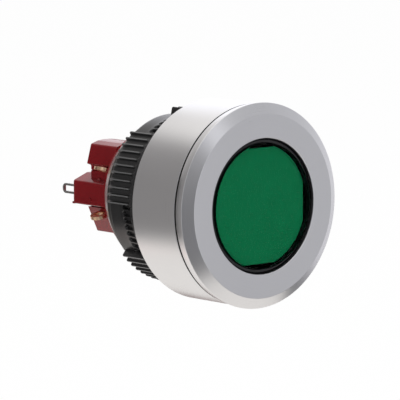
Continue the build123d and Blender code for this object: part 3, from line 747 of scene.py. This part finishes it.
# %% Outside of the nut
def nut_radius(degrees, y):
    """Radius of the nut's outside at an angle from a lobe's middle."""
    across = math.radians(abs(degrees % rib_pitch - rib_pitch / 2)) * nut_tip
    to_lobe = abs((degrees + lobe_step / 2) % lobe_step - lobe_step / 2)
    if to_lobe > lobe_half:
        drop = nut_collar - nut_body - band_rise
        skin = nut_collar - drop * share(y, slope_front, slope_end)
        skin -= band_rise * share(y, slope_end, band_front)
        return skin - cut_depth(pocket, across, y)
    if y > rib_end:
        return nut_body
    skin = nut_tip if y > rib_front else nut_collar
    skin -= rib_round - math.sqrt(rib_round ** 2 - max(0, y - rib_end + rib_round) ** 2)
    return skin - cut_depth(channel, across, y)


# %% Lock nut
collar_edge, rear_edge, columns_per_rib = 0.15, 0.25, 12
front_levels = [nut_low.y + 0.75 + level_step * i for i in range(38)]
before_rib_end = (1.0, 0.7, rib_round, 0.2, 0.1, 0.04, 0, -0.01)
nut_levels = front_levels + [rib_end - distance_before for distance_before in before_rib_end]


def nut_outline(part_of_turn):
    """Closed outline of the nut: bore, collar, channels and the smooth rear."""
    degrees = part_of_turn * 360
    return [(nut_bore, nut_low.y), (nut_collar - collar_edge, nut_low.y),
            (nut_collar - broken_edge, nut_low.y + broken_edge),
            (nut_collar, nut_low.y + collar_edge),
            *[(nut_radius(degrees, y), y) for y in nut_levels],
            (nut_body, nut_high.y - rear_edge), (nut_body - rear_edge, nut_high.y),
            (nut_bore, nut_high.y)]


nut = wind("lock_nut_moulded", nut_outline, nut_nylon, turns=columns_per_rib * rib_count)
nut.data.transform(Matrix.Rotation(-math.radians(first_lobe), 4, "Y"))
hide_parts("lock_nut")
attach(nut, "lock_nut")

# %% [markdown]
# ### Soft edges on the nodes that stay
# No moulding or stamping has a knife edge. The nodes that show keep their shape and get a
# narrow bevel, wide enough to catch a line of light. A modifier makes it, so that the packed
# mesh stays as it is.

# %% Soft edges
edge_widths = {"pressure_ring": 0.08, "panel_gasket": 0.1, "switch_base": 0.08,
               "upper_cover": 0.08, "lower_cover": 0.08, "button_carrier": 0.06,
               "left_lamp_terminal": 0.13, "right_lamp_terminal": 0.13,
               "upper_left_terminal": 0.14, "upper_right_terminal": 0.14,
               "lower_left_terminal": 0.14, "lower_right_terminal": 0.14}
softened_angle = math.radians(35)
for name, width in edge_widths.items():
    edge = nodes[name].modifiers.new("edge", "BEVEL")
    edge.width = width * mm
    edge.segments = 2
    edge.limit_method = "ANGLE"
    edge.angle_limit = softened_angle
    edge.harden_normals = True
print("softened", len(edge_widths), "nodes")

# %% [markdown]
# ## Springs
# Three coil springs push the button and its contacts forward. A spring that is pressed keeps
# its two ends where they rest and gives up its pitch, which a rigid piece can't do. So each is
# wound again here, as one tube along a helix, with its end turns closed as on a real spring.
# It stands on the housing by its rear end.

# %% Wire of a spring
def coil(low, high, wire, turns, closed=1.0, sides=10, steps=28):
    """Tube along a helix between two corners, with closed turns at both ends."""
    middle, radius = (low + high) / 2, (high.x - low.x - wire) / 2
    open_pitch = (high.y - low.y - wire - 2 * closed * wire) / (turns - 2 * closed)
    made = bmesh.new()
    rings = []
    for step in range(round(turns * steps) + 1):
        turn_number = step / steps
        wound = min(turn_number, closed) + max(turn_number - turns + closed, 0)
        y = low.y + wire / 2 + wound * wire + (turn_number - wound) * open_pitch
        angle = 2 * math.pi * turn_number
        ring = []
        for side in range(sides):
            spoke = 2 * math.pi * side / sides
            reach = radius + wire / 2 * math.cos(spoke)
            ring.append(made.verts.new((
                (middle.x + reach * math.cos(angle)) * mm,
                (y + wire / 2 * math.sin(spoke)) * mm,
                (middle.z + reach * math.sin(angle)) * mm)))
        rings.append(ring)
    join_rings(made, rings)
    made.faces.new(rings[0])
    made.faces.new(rings[-1])
    return made


# %% Springs
def spring(node, joint, wire, turns):
    """Compression spring in place of a node; the joint's travel only gives the printed pressed length."""
    low, high = limits(node)
    made = coil(low, high, wire, turns)
    piece = link(node + "_wire", closed_mesh(node + "_wire", made), spring_steel)
    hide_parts(node)
    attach(piece, "housing")
    travel = next(j for j in frame["joints"] if j["name"] == joint)["range_m"][1] / mm
    length = high.y - low.y
    1 - travel / length
    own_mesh(piece)
    print("wound", node, round(length, 2), "mm long and", round(length - travel, 2), "mm pressed")


spring("return_spring", "button_press", wire=0.4, turns=7)
spring("upper_contact_spring", "upper_contact_travel", wire=0.28, turns=8)
spring("lower_contact_spring", "lower_contact_travel", wire=0.28, turns=8)

# %% [markdown]
# ## Studio
# The background is plain white to the camera, to reflections and through clear pieces, but
# it lights the object at about half that level, so that colours keep their own tone. The
# rest of the light comes from one large soft box above. Light Path tells the rays apart.

# %% Rays that see the background
def seen(sheet, rays):
    """1 for rays from the camera, from reflections and through clear pieces."""
    either = {"operation": "MAXIMUM"}
    indirect = sheet.add("ShaderNodeMath", either, {
        0: rays.output("Is Glossy Ray"), 1: rays.output("Is Transmission Ray")})
    return sheet.add("ShaderNodeMath", either, {0: rays, 1: indirect})


# %% World
world = bpy.data.worlds.new("studio")
scene.world = world
world.use_nodes = True
sheet = Sheet(world.node_tree)
lighting_white, plain_white = (0.55, 0.55, 0.555), (1.0, 1.0, 1.0)
background = seen(sheet, sheet.add("ShaderNodeLightPath"))
light = sheet.add("ShaderNodeBackground", None, {
    "Color": mix_colour(sheet, lighting_white, plain_white, background), "Strength": 1.0})
sheet.add("ShaderNodeOutputWorld", None, {"Surface": light})
print("the world lights at", lighting_white[0], "and shows as", plain_white[0])

# %% [markdown]
# ### Floor
# The floor is white paper, far below, that the object's shadow can fall on. To the camera it
# is almost wholly the white of the background; in the metal it shows a little warmer.

# %% Floor
floor_z, floor_radius = -60, 2000
made = bmesh.new()
bmesh.ops.create_circle(made, cap_ends=True, segments=96, radius=floor_radius * mm)
floor_mesh = bpy.data.meshes.new("floor")
made.to_mesh(floor_mesh)
made.free()
floor = bpy.data.objects.new("floor", floor_mesh)
floor.location = (0, 0, floor_z * mm)
scene.collection.objects.link(floor)

# %% White paper
paper_share = 0.03      # how much of the paper's own shading the camera sees
warm_white = (0.91, 0.88, 0.85)
material = bpy.data.materials.new("pale_floor")
material.use_nodes = True
sheet = Sheet(material.node_tree)
rays = sheet.add("ShaderNodeLightPath")
grain = noise(sheet, place(sheet), 2.0, 2.0)
paper = sheet.add("ShaderNodeBsdfPrincipled", None, {
    "Base Color": mix_colour(sheet, (0.86, 0.86, 0.86), (0.9, 0.9, 0.9), grain),
    "Roughness": 0.8 + grain * 0.1})
white = sheet.add("ShaderNodeEmission", None, {"Strength": 1.0, "Color": mix_colour(
    sheet, plain_white, warm_white, rays.output("Is Glossy Ray"))})
surface = sheet.add("ShaderNodeMixShader", None, {
    0: seen(sheet, rays) * (1 - paper_share), 1: paper, 2: white})
sheet.add("ShaderNodeOutputMaterial", None, {"Surface": surface})
floor_mesh.materials.append(material)
print("floor at z", floor_z, "mm")

# %% [markdown]
# ### Wall
# A polished metal has no tone of its own: it shows what stands round it. So a round grey
# wall stands about the button. Only reflections see it, and its tones are the bands that
# show on the ring, the body and the block.

# %% Things that only reflections see
def only_in_reflections(piece):
    """Hide a thing of the studio from all rays but glossy ones."""
    for kind in ("camera", "diffuse", "shadow", "transmission", "volume_scatter"):
        setattr(piece, f"visible_{kind}", False)


def glowing(name, colour_of):
    """Material that shines at strength 1 with the colour made on its sheet."""
    material = bpy.data.materials.new(name)
    material.use_nodes = True
    sheet = Sheet(material.node_tree)
    glow = sheet.add("ShaderNodeEmission", None, {"Color": colour_of(sheet), "Strength": 1.0})
    sheet.add("ShaderNodeOutputMaterial", None, {"Surface": glow})
    return material


# %% Shape of the wall
def wall(name, radius, middle_y, low, high, steps=64, rows=8):
    """Upright ring of faces, open above and below."""
    made = bmesh.new()
    rings = []
    for row in range(rows + 1):
        z = low + (high - low) * row / rows
        rings.append([made.verts.new((radius * mm * math.cos(2 * math.pi * i / steps),
                                      radius * mm * math.sin(2 * math.pi * i / steps), z * mm))
                      for i in range(steps)])
    join_rings(made, rings)
    mesh = bpy.data.meshes.new(name)
    made.to_mesh(mesh)
    made.free()
    piece = bpy.data.objects.new(name, mesh)
    piece.location = (0, middle_y * mm, 0)
    scene.collection.objects.link(piece)
    only_in_reflections(piece)
    print("wall of radius", radius, "mm with", len(mesh.polygons), "faces")
    return piece


wall_radius, wall_middle_y, wall_top = 75, 13, 125
grey_wall = wall("grey_wall", wall_radius, wall_middle_y, floor_z, wall_top)

# %% [markdown]
# Round the wall the tone follows from the bearing, as stops of a ramp. It also changes with
# height: the floor's light reaches the foot of the far side, the near side's foot is dark,
# the near left part brightens slowly upwards, and near the top the wall fades into the
# light ceiling. Low on the far right it is dark and a little red, a painted reflection of the
# red block. Many small cards could do the same, but one sheet of nodes keeps all the tones
# in one place.

# %% Tones round the wall
cool, warm = (1.0, 1.0, 1.05), (1.0, 0.965, 0.96)
wall_tones = [      # degrees, grey, tint
    (-180, 0.6, warm), (-138, 0.27, warm), (-100, 0.27, warm), (-66, 0.3, cool),
    (-56, 1.0, cool), (-46, 0.2, cool), (-20, 0.17, cool), (-13, 0.24, cool),
    (-7, 0.95, cool), (0, 0.95, cool), (9, 0.5, cool), (42, 0.52, cool), (70, 0.6, cool),
    (105, 1.3, cool), (150, 1.3, cool), (163, 0.75, warm), (180, 0.6, warm)]
print("the wall has", len(wall_tones), "tones")


def tone_by_bearing(sheet, x, y):
    """Tone of the wall in the direction of a place."""
    turns = sheet.add("ShaderNodeMath", {"operation": "ARCTAN2"}, {
        0: x, 1: y * -1}) * (0.5 / math.pi) + 0.5
    return sheet.add("ShaderNodeValToRGB", {"stops": [
        (degrees / 360 + 0.5, tuple(grey * part for part in tint))
        for degrees, grey, tint in wall_tones]}, {0: turns})


# %% Changes along the wall
def rise(sheet, value, stretch, top=1.0):
    """Smooth change from 0 where the value enters a stretch to top where it leaves it."""
    return sheet.add("ShaderNodeMapRange", {"interpolation_type": "SMOOTHSTEP"}, {
        "Value": value, "From Min": stretch[0], "From Max": stretch[1], "To Max": top})


def size_of(sheet, value):
    """The value without its sign."""
    return sheet.add("ShaderNodeMath", {"operation": "ABSOLUTE"}, {0: value})


floor_light, near_shade, slow_light = (0.78, 0.765, 0.74), (0.0, 0.0, 0.0), (0.97, 0.965, 0.97)
# The dark red is a painted reflection of the red block.
ceiling_light, block_reflection_red = (1.0, 0.975, 0.95), (0.14, 0.07, 0.07)
right_part, left_part, near_part = (18, 36), (-18, -36), (-15, -40)     # stretches of x and y
far_foot, near_foot, near_shade_share = (-30, -65), (-28, -50), 0.7     # stretches of z
slow_height, ceiling_height, red_height = (-14, 118), (50, 86), (17, 7)
ceiling_per_y, ceiling_per_x, right_ceiling_drop = 0.2, 0.3, 18


# %% Colour of the wall
def wall_colour(sheet):
    """Colour of the wall: tones by bearing, then the changes with height."""
    x, y, z = split(sheet, place(sheet))
    far_side = y > 0
    right = rise(sheet, x, right_part) * far_side
    near_left = rise(sheet, x, left_part) * rise(sheet, y, near_part)
    near_foot_shade = rise(sheet, z, near_foot, near_shade_share) * (1 - far_side)
    height = z - size_of(sheet, y) * ceiling_per_y - size_of(sheet, x) * ceiling_per_x \
        + right * right_ceiling_drop
    tone = tone_by_bearing(sheet, x, y)
    tone = mix_colour(sheet, tone, floor_light, rise(sheet, z, far_foot) * far_side)
    tone = mix_colour(sheet, tone, near_shade, near_foot_shade)
    tone = mix_colour(sheet, tone, slow_light, near_left * rise(sheet, z, slow_height))
    tone = mix_colour(sheet, tone, ceiling_light, rise(sheet, height, ceiling_height))
    # Low on the far right: the painted reflection of the red block.
    return mix_colour(sheet, tone, block_reflection_red, right * rise(sheet, z, red_height))


grey_wall.data.materials.append(glowing("grey_wall", wall_colour))
print("the wall's colour takes", len(grey_wall.data.materials[0].node_tree.nodes), "nodes")

# %% [markdown]
# ### Cards
# The red block's side faces the wall's left part, whose light would wash its colour out, and
# its underside faces the wall's foot. Two small cards hang in front of the wall, as in a
# studio: a dark one takes light away from the side, a white one lifts the underside.

# %% Dark card and white card
block_side = Vector((-8, 15, 0))


def card(name, place_mm, half_width, half_height, glow_colour):
    """Flat card that faces the block and shows only in reflections."""
    mesh = bpy.data.meshes.new(name)
    mesh.from_pydata([(x * mm, y * mm, 0) for x, y in (
        (-half_width, -half_height), (half_width, -half_height),
        (half_width, half_height), (-half_width, half_height))], [], [(0, 1, 2, 3)])
    piece = bpy.data.objects.new(name, mesh)
    piece.location = Vector(place_mm) * mm
    facing = block_side - Vector(place_mm)
    piece.rotation_euler = facing.to_track_quat("Z", "Y").to_euler()
    scene.collection.objects.link(piece)
    only_in_reflections(piece)
    mesh.materials.append(glowing(name, lambda sheet: (*glow_colour, 1)))
    print(name, "at", place_mm)


card("dark_card", (-25.5, 39.8, -3), 7, 19, (0.03, 0.03, 0.03))
card("white_card", (-28.5, 66.6, -47.3), 15, 7, (1.05, 0.92, 0.88))

# %% [markdown]
# ### Soft box
# One large round lamp hangs above and a little to the right. It lights the tops and gives
# the floor a soft shadow, and reflections don't see it, so it leaves no spot on the metal.

# %% Soft box
def soft_box(name, place_mm, size_mm, watts):
    """Large flat lamp that faces the button."""
    lamp = bpy.data.objects.new(name, bpy.data.lights.new(name, "AREA"))
    lamp.data.shape = "DISK"
    lamp.data.size = size_mm * mm
    lamp.data.energy = watts
    lamp.visible_glossy = False
    lamp.location = Vector(place_mm) * mm
    lamp.rotation_euler = (-lamp.location).to_track_quat("-Z", "Y").to_euler()
    scene.collection.objects.link(lamp)
    print(name, "of", watts, "W at", place_mm)


soft_box("top_light", (120, 0, 700), 500, 3.2)
